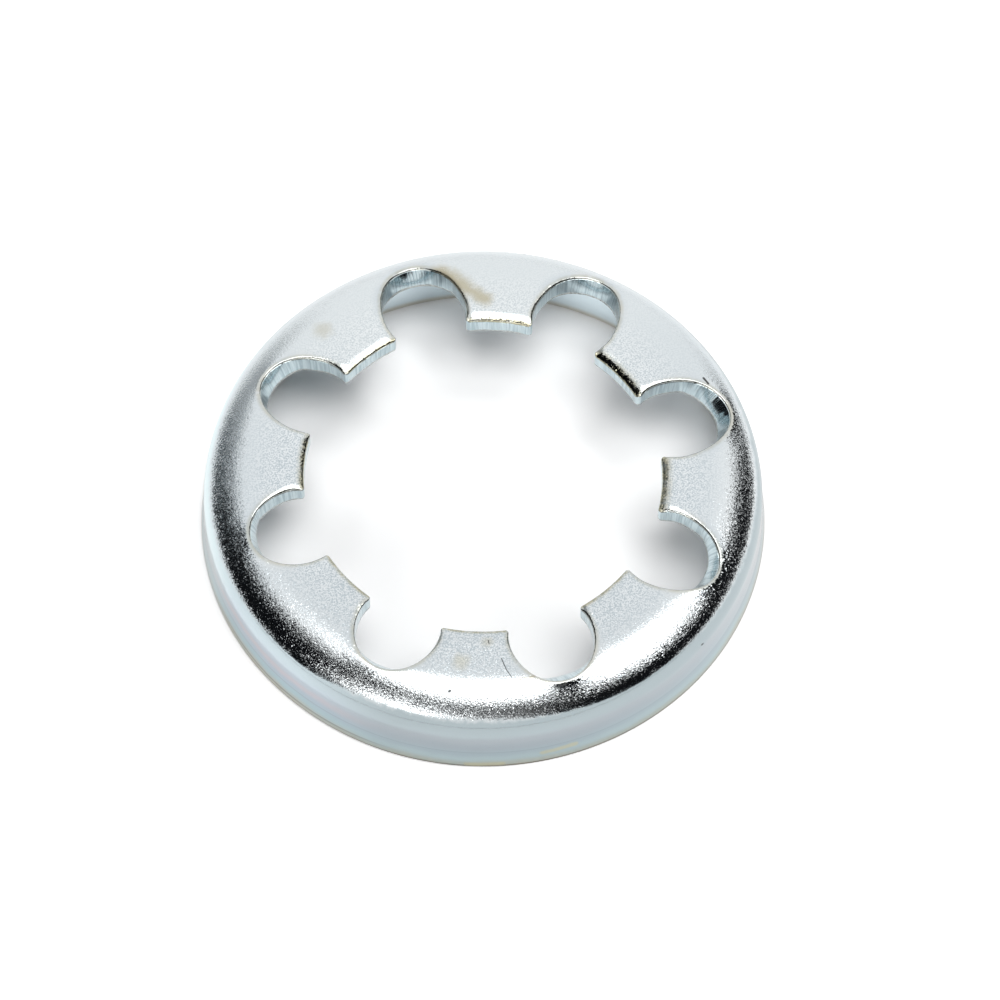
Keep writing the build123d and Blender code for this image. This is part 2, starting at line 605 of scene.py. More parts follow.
# %% Underside skin
ceiling_outline = to_flat(wall_rows[-1][:, :2], ceiling)
ceiling_tree = edge_tree(ceiling_outline)
ceiling_rings = rings_along(ceiling_outline, into_steel(ceiling_outline), (0.0, 0.1, 0.22))
ceiling_spacing = 0.4
ceiling_border_radius = 16.95
ceiling_border_length = float(look_up(ceiling, "length", "radius", ceiling_border_radius))
ceiling_filling = lattice(tip_radius, ceiling_border_length - 0.2, ceiling_spacing, seed=9)
ceiling_flat, ceiling_triangles, ceiling_border_first = skin_between(
    ceiling_outline, ceiling_tree, ceiling_rings, turn_ways * ceiling_border_length,
    ceiling_filling, clear=0.4)
ceiling_points = bend_back(ceiling_flat, ceiling)
print("underside:", len(ceiling_points), "points,", len(ceiling_triangles), "triangles")

# %% [markdown]
# ## Shoulder, skirt and rim
# The rest is round, so rows of points follow the section from the crown, over the shoulder, down
# the skirt, round the trimmed rim and up the inside. A screw modifier would make it too, but rows
# can change with the angle: the file that broke the rim's outer edge bit deeper on one side.

# %% Rows round the washer
def row_at(table, length):
    """A ring of points at one length along a section."""
    radius = look_up(table, "radius", "length", length)
    return np.c_[turn_ways * radius, np.full(turn_count, look_up(table, "height", "length", length))]


def lengths_between(start, end, spacing):
    """Evenly spaced lengths between two others, which are left out."""
    return np.linspace(start, end, max(2, math.ceil(abs(end - start) / spacing) + 1))[1:-1]


def length_at_height(table, height):
    """Length along a section where it comes down to a height."""
    return float(np.interp(-height, -table["height"], table["length"]))


skirt_top = length_at_height(outer, 3.3)
crease = length_at_height(outer, skirt_crease[1])
outer_end = outer["length"][-1]
stops = np.r_[crown_border_length, skirt_top, crease - 0.1, crease + 0.1, outer_end - 0.3]
row_spacings = (0.1, 0.3, 0.04, 0.25)
outer_lengths = []
for start, end, spacing in zip(stops, stops[1:], row_spacings):
    outer_lengths += [*lengths_between(start, end, spacing), end]
outside_rows = [row_at(outer, length) for length in outer_lengths]
print("outside:", len(outside_rows), "rows")

# %% Rim and inside
rim_radius = outer_points[-1][0]
inner_rim_radius = inner_points[-1][0]
outer_break, inner_break = 0.25, 0.05
flat_width = sheet - outer_break - inner_break
inner_skirt_top = 3.0
flare = (rim_foot[0] - skirt_crease[0]) / skirt_crease[1]
break_size = 0.09 + 0.13 * beside(np.degrees(turn_angles), -128, 22)


def rim_row(radius, height):
    """A ring of points on the rim. Radius and height may change round it."""
    return np.c_[turn_ways * np.reshape(radius, (-1, 1)), np.broadcast_to(height, turn_count)]


rim_rows = []
for share in np.linspace(0, 1, 4):
    height = break_size * (1 - share) ** 1.4
    set_back = break_size * (0.08 + 0.75 * share ** 1.6)
    rim_rows.append(rim_row(rim_radius - set_back - height * flare, height))
for share in (0.35, 0.7):
    rim_rows.append(rim_row(rim_radius - outer_break - share * flat_width, 0.0))
rim_rows.append(rim_row(inner_rim_radius + inner_break, 0.0))
rim_rows.append(rim_row(inner_rim_radius - 0.004, inner_break))
inner_foot = inner["length"][-1] - 0.25
inner_top = length_at_height(inner, inner_skirt_top)
inner_lengths = [inner_foot, *lengths_between(inner_foot, inner_top, 0.45), inner_top]
inner_lengths += [*lengths_between(inner_top, ceiling_border_length, 0.1)]
inside_rows = [row_at(inner, length) for length in inner_lengths]
print("rim:", len(rim_rows), "rows, inside:", len(inside_rows), "rows")

# %% [markdown]
# ## One closed mesh
# The two skins, the walls and the rows share their border points, so the washer becomes one closed
# mesh, as a printed or scanned part would be. Each point also carries how much it has of every
# finish: grain, film, cut wall, torn wall and inside. Painting those by hand, or finding them
# from the angle of a face, could not follow the edge as closely as the rows themselves do.

# %% Rows and strips
points, faces, edge_places = [], [], []
finishes = {name: [] for name in ("grain", "film", "wall", "tear", "inside")}


def add_row(row, place=None, **amounts):
    """Adds a row of points with its amounts of each finish, and gives their numbers."""
    first = sum(len(earlier) for earlier in points)
    points.append(row)
    for name, parts in finishes.items():
        parts.append(np.broadcast_to(amounts.get(name, 0.0), len(row)))
    edge_places.append(np.zeros((len(row), 3)) if place is None else place)
    return np.arange(first, first + len(row))


def strip(first, second):
    """Faces between two closed rows, seen from the side where the first row is on the right."""
    for i in range(len(first)):
        j = (i + 1) % len(first)
        faces.append((first[i], first[j], second[j], second[i]))


print("each point carries:", *finishes)

# %% [markdown]
# The crown is grained, less so beside the notches, where the punch drew the steel smooth. The film
# is thick on the tips, each to its own width, and thinner along the notches.

# %% Add the crown
film_widths = np.array((0.85, 0.75, 0.5, 0.45, 0.55, 0.4, 0.36, 0.42))
beside_notch = 1 - ease(0.1, 0.9, notch_distance)
smooth_share = 0.15 + 0.6 * ease(13.6, 15.2, outline_radius[notch_point])
crown_grain = 1 - beside_notch * smooth_share
crown_film = 1 - ease(0.15, 1.0, tip_distance / film_widths[tooth_beside])
crown_film = np.maximum(crown_film, 0.5 * (1 - ease(0.08, 0.42, notch_distance)))
crown_place = np.zeros((len(crown_points), 3))
crown_place[:len(outline), :2] = edge_loop
add_row(crown_points, place=crown_place, grain=crown_grain, film=crown_film)
faces += [tuple(t) for t in crown_triangles]
print("crown:", len(faces), "triangles")

# %% Add walls and underside
above = np.arange(len(outline))
edge_film = crown_film[:len(outline)]
for share, row in zip(wall_shares[:-1], wall_rows[:-1]):
    torn = ease(-0.02, 0.05, share - tear_starts)
    below = add_row(row, place=np.c_[edge_loop, wall_drop * share], wall=1.0, tear=torn, film=edge_film)
    strip(above, below)
    above = below
on_tear = np.zeros(len(ceiling_points))
on_tear[:len(outline)] = 1.0
ceiling_place = np.zeros((len(ceiling_points), 3))
ceiling_place[:len(outline)] = np.c_[edge_loop, wall_drop]
ceiling_numbers = add_row(ceiling_points, place=ceiling_place, grain=0.6, wall=on_tear, tear=on_tear,
                          inside=1 - on_tear)
torn_edge = ceiling_numbers[:len(outline)]
strip(above, torn_edge)
faces += [tuple(ceiling_numbers[t[::-1]]) for t in ceiling_triangles]
print("with walls and underside:", len(faces), "faces")

# %% Add shoulder, skirt, rim and inside
inward = np.arange(crown_border_first, crown_border_first + turn_count)
for number, row in enumerate(outside_rows + rim_rows + inside_rows):
    within = number >= len(outside_rows) + len(rim_rows)
    hidden = ease(4.2, 4.6, row[0, 2]) if within else 0.0
    following = add_row(row, grain=0.0 if within else 1.0, inside=hidden)
    strip(following, inward)
    inward = following
strip(ceiling_numbers[ceiling_border_first:], inward)
points = np.vstack(points)
print("one mesh:", len(points), "points,", len(faces), "faces")

# %% [markdown]
# ## The washer
# The mesh is shaded smooth, because every bend has enough rows. Only the torn lower edge of the
# hole is marked sharp: there the wall meets the underside without a round.

# %% Make the washer
mesh = bpy.data.meshes.new("zinc_washer")
mesh.from_pydata((points * MM).tolist(), [], [tuple(int(i) for i in f) for f in faces])
mesh.shade_smooth()
ends = np.empty(len(mesh.edges) * 2, int)
mesh.edges.foreach_get("vertices", ends)
on_edge = np.zeros(len(points), bool)
on_edge[torn_edge] = True
sharp = mesh.attributes.new("sharp_edge", "BOOLEAN", "EDGE")
sharp.data.foreach_set("value", on_edge[ends.reshape(-1, 2)].all(axis=1))
print("sharp edges:", int(on_edge[ends.reshape(-1, 2)].all(axis=1).sum()))

# %% Amounts and frame
for name, parts in finishes.items():
    layer = mesh.attributes.new(name, "FLOAT", "POINT")
    layer.data.foreach_set("value", np.concatenate(parts).astype(np.float32))
layer = mesh.attributes.new("edge_place", "FLOAT_VECTOR", "POINT")
layer.data.foreach_set("vector", np.vstack(edge_places).astype(np.float32).ravel())
washer = bpy.data.objects.new("zinc_washer", mesh)
bpy.context.scene.collection.objects.link(washer)
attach(washer, "root")
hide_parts("lock_washer")
flaws = mesh.validate(verbose=False)
triangles = sum(len(f.vertices) - 2 for f in mesh.polygons)
print("washer:", triangles, "triangles, flaws found:", flaws)

# %% [markdown]
# ## Nodes in few words
# A finish is a tree of nodes. It could be built by hand in the editor, but written out, every part
# of it has a name and can be read. These helpers add one kind of node each, and give its output.

# %% Helper for any node
def node(tree, kind, inputs=None, **settings):
    """Adds a node. Inputs are values, or outputs of other nodes to link."""
    made = tree.nodes.new(kind)
    for name, value in settings.items():
        setattr(made, name, value)
    for name, value in (inputs or {}).items():
        if isinstance(value, bpy.types.NodeSocket):
            tree.links.new(value, made.inputs[name])
        else:
            made.inputs[name].default_value = value
    return made


print("one helper adds any node")

# %% Helpers for numbers
def calc(tree, operation, *values):
    """Output of a math node."""
    return node(tree, "ShaderNodeMath", dict(enumerate(values)), operation=operation).outputs[0]


def times(tree, first, *others):
    """Product of several values."""
    for other in others:
        first = calc(tree, "MULTIPLY", first, other)
    return first


def most(tree, first, *others):
    """The largest of several values."""
    for other in others:
        first = calc(tree, "MAXIMUM", first, other)
    return first


def step(tree, value, low, high, at_low=0.0, at_high=1.0):
    """Soft step of a value between two marks. With low above high it falls as the value grows."""
    return node(tree, "ShaderNodeMapRange",
                {"Value": value, "From Min": low, "From Max": high, "To Min": at_low, "To Max": at_high},
                interpolation_type="SMOOTHSTEP").outputs[0]


def line_at(tree, value, middle, outer_half, inner_half):
    """One where a value is near the middle of a line, fading out to its border."""
    return step(tree, calc(tree, "ABSOLUTE", calc(tree, "SUBTRACT", value, middle)), outer_half, inner_half)


print("helpers for numbers: calc, times, most, step, line_at")

# %% Helpers for places, noise and colours
def vectors(tree, operation, first, second):
    """Vector that a vector math node makes of two others."""
    return node(tree, "ShaderNodeVectorMath", {0: first, 1: second}, operation=operation).outputs[0]


def scaled(tree, vector, scale):
    """A vector made longer or shorter."""
    return node(tree, "ShaderNodeVectorMath", {0: vector, "Scale": scale}, operation="SCALE").outputs[0]


def measured(tree, operation, first, second):
    """Number that a vector math node finds from two vectors, such as their distance."""
    return node(tree, "ShaderNodeVectorMath", {0: first, 1: second}, operation=operation).outputs["Value"]


def cloud(tree, place, scale, detail=2.0, roughness=0.5):
    """Smooth noise between 0 and 1, with scale in lumps per millimetre."""
    return node(tree, "ShaderNodeTexNoise", {"Vector": place, "Scale": scale, "Detail": detail,
                                             "Roughness": roughness}).outputs[0]


def mix(tree, share, first, second, blend="MIX"):
    """Mix of two colours."""
    colours = {0: share}
    for number, colour in ((6, first), (7, second)):
        colours[number] = (*colour, 1) if isinstance(colour, tuple) else colour
    return node(tree, "ShaderNodeMix", colours, data_type="RGBA", blend_type=blend).outputs[2]


print("helpers for the rest: vectors, scaled, measured, cloud, mix")

# %% [markdown]
# ## The zinc finish
# Zinc plate on pressed steel is not one surface. The crown keeps the grain of the blank, like a
# fine orange peel, but the shoulder and skirt were ironed smooth by the die, and a thin clear film
# tints them in soft bands. The cut walls carry upright scores from the punch and end in a dull torn
# band. On the tips the film is thicker and yellow. An image could hold all that, but nodes follow
# the shape: they read the place on the washer and the amounts stored with its points.

# %% Where a point is
zinc = bpy.data.materials.new("zinc_plate")
zinc.use_nodes = True
tree = zinc.node_tree
shader = tree.nodes["Principled BSDF"]
place = scaled(tree, node(tree, "ShaderNodeTexCoord").outputs["Object"], 1 / MM)
parts_of_place = node(tree, "ShaderNodeSeparateXYZ", {0: place})
height = parts_of_place.outputs["Z"]
radius = calc(tree, "SQRT", calc(
    tree, "ADD", calc(tree, "POWER", parts_of_place.outputs["X"], 2.0),
    calc(tree, "POWER", parts_of_place.outputs["Y"], 2.0)))


def stored(name, output="Fac"):
    """An amount that was stored with the points."""
    return node(tree, "ShaderNodeAttribute", attribute_name=name).outputs[output]


def toward(bearing, low, high):
    """Zero to one as a place on the washer turns towards a bearing, from one cosine to another."""
    way = (math.cos(math.radians(bearing)), math.sin(math.radians(bearing)), 0.0)
    along = measured(tree, "DOT_PRODUCT", place, way)
    return step(tree, calc(tree, "DIVIDE", along, radius), low, high)


edge_place = stored("edge_place", "Vector")
patches = cloud(tree, place, 0.35, 3.0)
fine_patches = cloud(tree, place, 1.6, 3.0, 0.6)
uneven = calc(tree, "SUBTRACT", fine_patches, 0.5)
print("the finish reads", len(finishes), "amounts from the points")

# %% [markdown]
# The die ironed everything below a line on the shoulder, which wavers and runs a little higher in
# front. Above it the sheet keeps its grain, coarser where the bend stretched it.

# %% Which finish is where
line_height = calc(tree, "SUBTRACT", height, times(tree, uneven, 0.45))
line_height = calc(tree, "SUBTRACT", line_height, times(tree, toward(-90, 0.4, 0.95), 0.2))
ironed = times(tree, step(tree, line_height, 4.8, 4.4), step(tree, radius, 17.7, 17.9))
inner_wall = times(tree, step(tree, height, 4.4, 3.9), step(tree, radius, 17.9, 17.6))
stretched = step(tree, radius, 14.6, 17.2)
coarse = calc(tree, "ADD", 0.5, times(tree, stretched, 0.5))
grained = times(tree, stored("grain"), calc(tree, "SUBTRACT", 1.0, ironed), coarse)
film = times(tree, stored("film"), step(tree, fine_patches, 0.3, 0.55, 0.5, 1.0))
wall, tear, inside = stored("wall"), stored("tear"), stored("inside")
print("so far:", len(tree.nodes), "nodes")

# %% [markdown]
# ### Relief
# The grain is far finer than the mesh, so bump nodes tilt the light on it instead. A bump alone
# looks like satin. The crystals of the plate lie like tiny mirrors at their own angles, so each
# cell of a cell pattern also gets a tilt. Cubing the tilts keeps most cells nearly level and lets
# a few of them sparkle. They are strongest over the bend and on the tips, and calm at the back.

# %% Relief of the crown
pebble_depth = 19e-6
facet_tilt = 0.105
largest_cube = 0.5 ** 3


def bump(relief, depth, normals=None):
    """Normals of a relief with a depth in metres, laid on other normals."""
    inputs = {"Height": relief, "Distance": depth, "Strength": 1.0}
    if normals is not None:
        inputs["Normal"] = normals
    return node(tree, "ShaderNodeBump", inputs).outputs[0]


pebbles = cloud(tree, place, 9.0, 2.5, 0.65)
peel = bump(times(tree, pebbles, grained), pebble_depth)
facets = node(tree, "ShaderNodeTexVoronoi", {"Vector": place, "Scale": 12.5}).outputs["Color"]
tilts = vectors(tree, "SUBTRACT", facets, (0.5, 0.5, 0.5))
tilts = vectors(tree, "MULTIPLY", tilts, vectors(tree, "MULTIPLY", tilts, tilts))
on_bend = times(tree, step(tree, radius, 13.6, 16.4, 0.35, 1.0), step(tree, radius, 16.6, 17.6, 1.0, 1.45))
calm_back = step(tree, toward(95, 0.05, 0.5), 0.0, 1.0, 1.0, 0.1)
calm_front = step(tree, toward(-78, 0.45, 0.95), 0.0, 1.0, 1.0, 0.6)
on_tips = times(tree, film, 1.8)
smooth = most(tree, ironed, wall, inner_wall, inside)
faceted = most(tree, times(tree, on_bend, calm_back, calm_front), on_tips)
faceted = times(tree, faceted, calc(tree, "SUBTRACT", 1.0, smooth))
tilts = scaled(tree, tilts, times(tree, faceted, facet_tilt / largest_cube))
sparkling = node(tree, "ShaderNodeVectorMath", {0: vectors(tree, "ADD", peel, tilts)},
                 operation="NORMALIZE").outputs[0]
print("relief of the crown: grain and facets")

# %% Relief of walls and skirt
ripple_depth, score_depth, crumb_depth, rub_depth = 80e-6, 20e-6, 24e-6, 5e-6
ripples = cloud(tree, vectors(tree, "MULTIPLY", edge_place, (1.5, 1.5, 0.25)), 1.0, 1.0)
scores = cloud(tree, vectors(tree, "MULTIPLY", edge_place, (7.0, 7.0, 0.35)), 1.0, 2.5, 0.6)
crumbs = cloud(tree, place, 7.0, 3.0, 0.65)
rub = cloud(tree, vectors(tree, "MULTIPLY", place, (1.0, 1.0, 2.2)), 2.2, 3.0, 0.6)
sheared = times(tree, wall, calc(tree, "SUBTRACT", 1.0, tear))
rippled = bump(times(tree, ripples, wall), ripple_depth, sparkling)
scored = bump(times(tree, scores, sheared), score_depth, rippled)
crumbled = bump(times(tree, crumbs, tear), crumb_depth, scored)
rubbed = bump(times(tree, rub, ironed), rub_depth, crumbled)
tree.links.new(rubbed, shader.inputs["Normal"])
print("relief of the walls: ripples, scores and crumbs; of the skirt: rub marks")

# %% [markdown]
# ### Stains and marks
# No pressed part is spotless. A brown stain runs over the crown beside one notch, there are a few
# faint spots, and short cracks and scratches lie beside two other notches. Each is a soft shape
# round a point or along a line, with a border that fine noise makes uneven.

# %% Stains and marks
def spot(x, y, size):
    """A soft stain on the crown, with its middle in millimetres and an uneven border."""
    away = measured(tree, "DISTANCE", place, (x, y, 6.0))
    away = calc(tree, "ADD", away, times(tree, uneven, 1.2 * size))
    return step(tree, away, 1.3 * size, 0.1 * size)


def mark(start, end, width, core=0.3):
    """A mark from one place to another, in millimetres. Its core is a share of its width."""
    start, end = Vector(start), Vector(end)
    along = end - start
    from_start = vectors(tree, "SUBTRACT", place, start)
    share = measured(tree, "DOT_PRODUCT", from_start, along / along.length_squared)
    share = node(tree, "ShaderNodeClamp", {0: share}).outputs[0]
    away = measured(tree, "DISTANCE", from_start, scaled(tree, along, share))
    away = calc(tree, "ADD", away, times(tree, uneven, 0.7 * width))
    return step(tree, away, width, core * width)


brown_stain = (((-3.9, 15.75, 5.9), (-2.5, 14.7, 5.95), 1.15, 0.0),
               ((-2.5, 14.7, 5.95), (-0.8, 13.6, 6.0), 0.9, 0.0))
faint_spots = ((-0.44, -14.4, 0.7), (-11.6, 10.5, 0.8), (1.15, -12.9, 0.5), (15.8, -9.3, 0.8))
cracks = (((14.3, 8.62, 5.65), (14.62, 8.24, 5.6), 0.12, 0.5), ((13.42, 8.4, 5.74), (13.95, 8.02, 5.7), 0.1))
scratches = (((2.17, -13.98, 6.0), (2.56, -14.78, 5.95), 0.05),
             ((2.56, -14.78, 5.95), (2.93, -15.27, 5.9), 0.045),
             ((1.29, -12.99, 6.1), (1.22, -12.75, 6.1), 0.05))
pits = (((-1.1, -16.5, 5.69), (-1.05, -16.45, 5.7), 0.12), ((15.3, -10.7, 3.7), (15.22, -10.78, 3.75), 0.14))
stain = most(tree, *(mark(*piece) for piece in brown_stain),
             *(times(tree, spot(*faint), 0.5) for faint in faint_spots))
dark_marks = most(tree, *(mark(*piece) for piece in cracks + scratches + pits))
burr = mark((3.48, -15.38, 5.85), (4.41, -15.09, 5.85), 0.12)
print("stains:", len(brown_stain + faint_spots), "dark marks:", len(cracks + scratches + pits))

# %% [markdown]
# ### Colour
# On metal the colour tints what is reflected. The clear film on the skirt goes from yellow at the
# rim through blue to lilac and back, as a soap film does. The ramps also hold painted reflection:
# lighter and darker bands where the floor is mirrored, and a paler skirt with stronger film colours
# towards the left. Real thin film could be switched on in the shader, but its colours would turn
# with the view, so ramps over the height give them instead.

# %% Bands of the skirt
ramp_height = 5.0


def bands(heights_and_colours, wander_by):
    """A colour ramp up the skirt, wavering a little."""
    wavering = times(tree, calc(tree, "SUBTRACT", patches, 0.5), wander_by)
    level = calc(tree, "DIVIDE", calc(tree, "ADD", height, wavering), ramp_height)
    made = node(tree, "ShaderNodeValToRGB", {0: level})
    ramp = made.color_ramp
    ramp.interpolation = "EASE"
    while len(ramp.elements) < len(heights_and_colours):
        ramp.elements.new(1.0)
    for element, (at, colour) in zip(ramp.elements, heights_and_colours):
        element.position = at / ramp_height
        element.color = (*colour, 1)
    return made.outputs[0]


# Both ramps are partly the film's colour and partly painted reflection of the floor.
skirt_film_and_reflection_bands = bands(((0.0, (0.52, 0.49, 0.40)), (0.35, (0.48, 0.52, 0.48)), (0.9, (0.46, 0.56, 0.585)),
                     (1.5, (0.41, 0.49, 0.53)), (2.3, (0.41, 0.465, 0.505)), (3.0, (0.43, 0.475, 0.51)),
                     (3.8, (0.45, 0.52, 0.545))), 0.7)
left_film_and_reflection_bands = bands(((0.0, (0.62, 0.57, 0.46)), (0.5, (0.60, 0.62, 0.56)), (1.2, (0.52, 0.67, 0.72)),
                    (1.9, (0.53, 0.63, 0.72)), (2.6, (0.66, 0.63, 0.68)), (3.2, (0.58, 0.66, 0.73)),
                    (4.2, (0.62, 0.72, 0.76))), 1.0)
print("two ramps for the skirt, up to", ramp_height, "mm")

# %% Lines of the skirt
pale_film_and_reflection = (0.76, 0.87, 0.89)
crease_shade_grey = (0.30, 0.36, 0.40)
rim_shade_brown = (0.13, 0.12, 0.09)
patch_yellow = (0.60, 0.56, 0.36)
yellow_patches = (((0.2, -18.9, 0.3), (2.6, -18.7, 0.35), 0.28),
                  ((5.2, -18.1, 1.0), (7.3, -17.4, 1.15), 0.3))
# Painted shade: a grey line along the crease of the skirt.
crease_shade_line = times(tree, line_at(tree, height, 1.62, 0.07, 0.02), 0.45)
# Painted shade: dark brown lines at the foot of the rim, doubled on the lower left.
rim_shade_line = times(tree, step(tree, height, 0.27, 0.13), 0.85)
second_rim_shade_line = times(tree, line_at(tree, height, 0.62, 0.09, 0.03), toward(-132, 0.86, 0.99), 0.5)
yellowed = times(tree, most(tree, *(mark(*piece) for piece in yellow_patches)), 0.6)
# Painted reflection: towards the left the skirt takes the paler, more coloured ramp and then a pale tint.
skirt_colour = mix(tree, toward(-152, 0.66, 0.96), skirt_film_and_reflection_bands, left_film_and_reflection_bands)
skirt_colour = mix(tree, toward(176, 0.80, 0.99), skirt_colour, pale_film_and_reflection)
skirt_colour = mix(tree, crease_shade_line, skirt_colour, crease_shade_grey)
skirt_colour = mix(tree, most(tree, rim_shade_line, second_rim_shade_line), skirt_colour, rim_shade_brown)
skirt_colour = mix(tree, yellowed, skirt_colour, patch_yellow)
print("skirt: film, crease, rim and two yellow patches")

# %% [markdown]
# The crown is paler on the peaks of its grain than in the pits, and veiled beside the notches, where
# the steel was drawn smooth. Paler at the back and on the near right, and a little darker in front,
# is painted light and shade.

# %% Colour of the crown
pit_grey, peak_grey = (0.51, 0.58, 0.62), (0.80, 0.84, 0.86)
painted_back_light_grey, painted_front_shade_grey, painted_right_light_grey = (0.86, 0.90, 0.90), (0.2, 0.22, 0.22), (0.92, 0.94, 0.94)
cool_veil, warm_veil = (0.62, 0.68, 0.72), (0.73, 0.76, 0.77)
speckles = calc(tree, "SUBTRACT", step(tree, pebbles, 0.38, 0.6), 0.5)
speckles = times(tree, speckles, step(tree, radius, 13.4, 16.4, 1.0, 0.22))
veil_colour = mix(tree, step(tree, patches, 0.35, 0.65), cool_veil, warm_veil)
crown_colour = mix(tree, calc(tree, "ADD", speckles, 0.5), pit_grey, peak_grey)
# Painted light and shade: paler towards the back and on the stretched near right, a little darker in front.
crown_colour = mix(tree, times(tree, toward(100, 0.1, 1.0), 0.4), crown_colour, painted_back_light_grey)
crown_colour = mix(tree, times(tree, toward(-90, 0.2, 1.0), 0.10), crown_colour, painted_front_shade_grey)
crown_colour = mix(tree, times(tree, stretched, toward(-60, -0.2, 0.5), 0.5), crown_colour, painted_right_light_grey)
crown_colour = mix(tree, calc(tree, "SUBTRACT", 1.0, stored("grain")), crown_colour, veil_colour)
print("crown: grain, shades and veil")

# %% Colour of the outside and the inside
stain_brown, mark_black, burr_grey = (0.47, 0.42, 0.27), (0.06, 0.065, 0.065), (0.55, 0.54, 0.48)
foot_yellow, inner_blue, ceiling_grey = (0.62, 0.60, 0.52), (0.84, 0.95, 1.0), (0.36, 0.40, 0.42)
tip_gold = (0.66, 0.59, 0.42)
outside_colour = mix(tree, ironed, crown_colour, skirt_colour)
outside_colour = mix(tree, times(tree, stain, 0.75), outside_colour, stain_brown)
outside_colour = mix(tree, times(tree, dark_marks, 0.95), outside_colour, mark_black)
outside_colour = mix(tree, burr, outside_colour, burr_grey)
inner_colour = mix(tree, step(tree, height, 0.1, 1.0), foot_yellow, inner_blue)
outside_colour = mix(tree, inner_wall, outside_colour, inner_colour)
outside_colour = mix(tree, inside, outside_colour, ceiling_grey)
filmed_colour = mix(tree, film, outside_colour, tip_gold, "MULTIPLY")
print("outside: marks, inner wall and the gold film of the tips")

# %% Colour of the cut walls
score_dark, score_pale = (0.38, 0.48, 0.52), (0.58, 0.68, 0.71)
torn_dark, torn_pale = (0.36, 0.38, 0.37), (0.60, 0.63, 0.62)
scored_colour = mix(tree, step(tree, scores, 0.33, 0.62), score_dark, score_pale)
torn_colour = mix(tree, step(tree, crumbs, 0.4, 0.6), torn_dark, torn_pale)
cut_colour = mix(tree, tear, scored_colour, torn_colour)
tree.links.new(mix(tree, wall, filmed_colour, cut_colour), shader.inputs["Base Color"])
print("walls: scored above, torn below")

# %% [markdown]
# ### Gloss
# Bright zinc is nearly a mirror, so the crown is very smooth between its grains and the skirt a
# little less so. The torn band and the inside are dull. A thin coat stands for the clear film.

# %% Gloss
crown_roughness = step(tree, pebbles, 0.3, 0.7, 0.08, 0.05)
outside_roughness = step(tree, ironed, 0.0, 1.0, crown_roughness, 0.11)
cut_roughness = step(tree, tear, 0.0, 1.0, 0.17, 0.45)
roughness = node(tree, "ShaderNodeMix", {0: wall, 2: outside_roughness, 3: cut_roughness}).outputs[0]
dull = times(tree, most(tree, stain, dark_marks), 0.32)
roughness = most(tree, roughness, times(tree, inside, 0.35), dull)
tree.links.new(roughness, shader.inputs["Roughness"])
shader.inputs["Metallic"].default_value = 1.0
shader.inputs["Coat Weight"].default_value = 0.2
shader.inputs["Coat Roughness"].default_value = 0.05
mesh.materials.append(zinc)
print("zinc finish:", len(tree.nodes), "nodes")

# %% [markdown]
# ## The studio
# Bright metal shows the room more than itself, so the room is built with care. It is white all
# round: the world and the paper look white to the camera and in reflections, but give little
# light. Turning the lamps up until the paper clips would wash out the washer as well.

# %% Backdrop
def seen_directly(tree):
    """One for camera, glossy and transmission rays, and zero for the light on other surfaces."""
    path = node(tree, "ShaderNodeLightPath")
    return most(tree, *(path.outputs[f"Is {kind} Ray"] for kind in ("Camera", "Glossy", "Transmission")))


backdrop = bpy.data.worlds.new("pale_backdrop")
backdrop.use_nodes = True
tree = backdrop.node_tree
tree.nodes.clear()
lighting = node(tree, "ShaderNodeBackground", {"Color": (0.94, 0.97, 1.0, 1), "Strength": 0.07})
showing = node(tree, "ShaderNodeBackground", {"Color": (1, 1, 1, 1), "Strength": 1.0})
chosen = node(tree, "ShaderNodeMixShader",
              {0: seen_directly(tree), 1: lighting.outputs[0], 2: showing.outputs[0]})
node(tree, "ShaderNodeOutputWorld", {"Surface": chosen.outputs[0]})
bpy.context.scene.world = backdrop
print("the backdrop shows white and lights at", lighting.inputs["Strength"].default_value)

# %% [markdown]
# The paper keeps the shadow of the washer. Outside the rim only a breath of it shows, so there the
# paper is lifted a little for the camera.

# %% Paper
floor_half = 3.0
floor_mesh = bpy.data.meshes.new("floor")
floor_mesh.from_pydata([(x, y, 0) for x, y in ((-1, -1), (1, -1), (1, 1), (-1, 1))], [], [(0, 1, 2, 3)])
floor_mesh.transform(Matrix.Scale(floor_half, 4))
floor = bpy.data.objects.new("floor", floor_mesh)
bpy.context.scene.collection.objects.link(floor)
paper = bpy.data.materials.new("white_paper")
paper.use_nodes = True
tree = paper.node_tree
tree.nodes.clear()
matt = node(tree, "ShaderNodeBsdfDiffuse", {"Color": (0.98, 0.98, 0.98, 1)})
from_axis = measured(tree, "DISTANCE", node(tree, "ShaderNodeTexCoord").outputs["Object"], (0, 0, 0))
beyond_rim = times(tree, step(tree, from_axis, 17.5 * MM, 19.0 * MM),
                   node(tree, "ShaderNodeLightPath").outputs["Is Camera Ray"])
lift_strength = calc(tree, "ADD", 0.02, times(tree, beyond_rim, 0.34))
lift = node(tree, "ShaderNodeEmission", {"Color": (1, 1, 1, 1), "Strength": lift_strength})
none = node(tree, "ShaderNodeEmission", {"Strength": 0.0})
lifted = node(tree, "ShaderNodeMixShader", {0: seen_directly(tree), 1: none.outputs[0], 2: lift.outputs[0]})
whole = node(tree, "ShaderNodeAddShader", {0: matt.outputs[0], 1: lifted.outputs[0]})
node(tree, "ShaderNodeOutputMaterial", {"Surface": whole.outputs[0]})
floor_mesh.materials.append(paper)
print("the paper is", 2 * floor_half, "m wide")

# %% [markdown]
# ### Lamps
# The washer reflects one large soft box overhead and a low one in front on the left. The paper
# shows the sum of all lamps, and needs more light from the sides than the metal may mirror. So
# four more lamps light the paper only: they are switched off for reflections.

# %% Soft boxes
small_lamp_distance = 0.6
axis_foot = Vector((0, 0, 0))


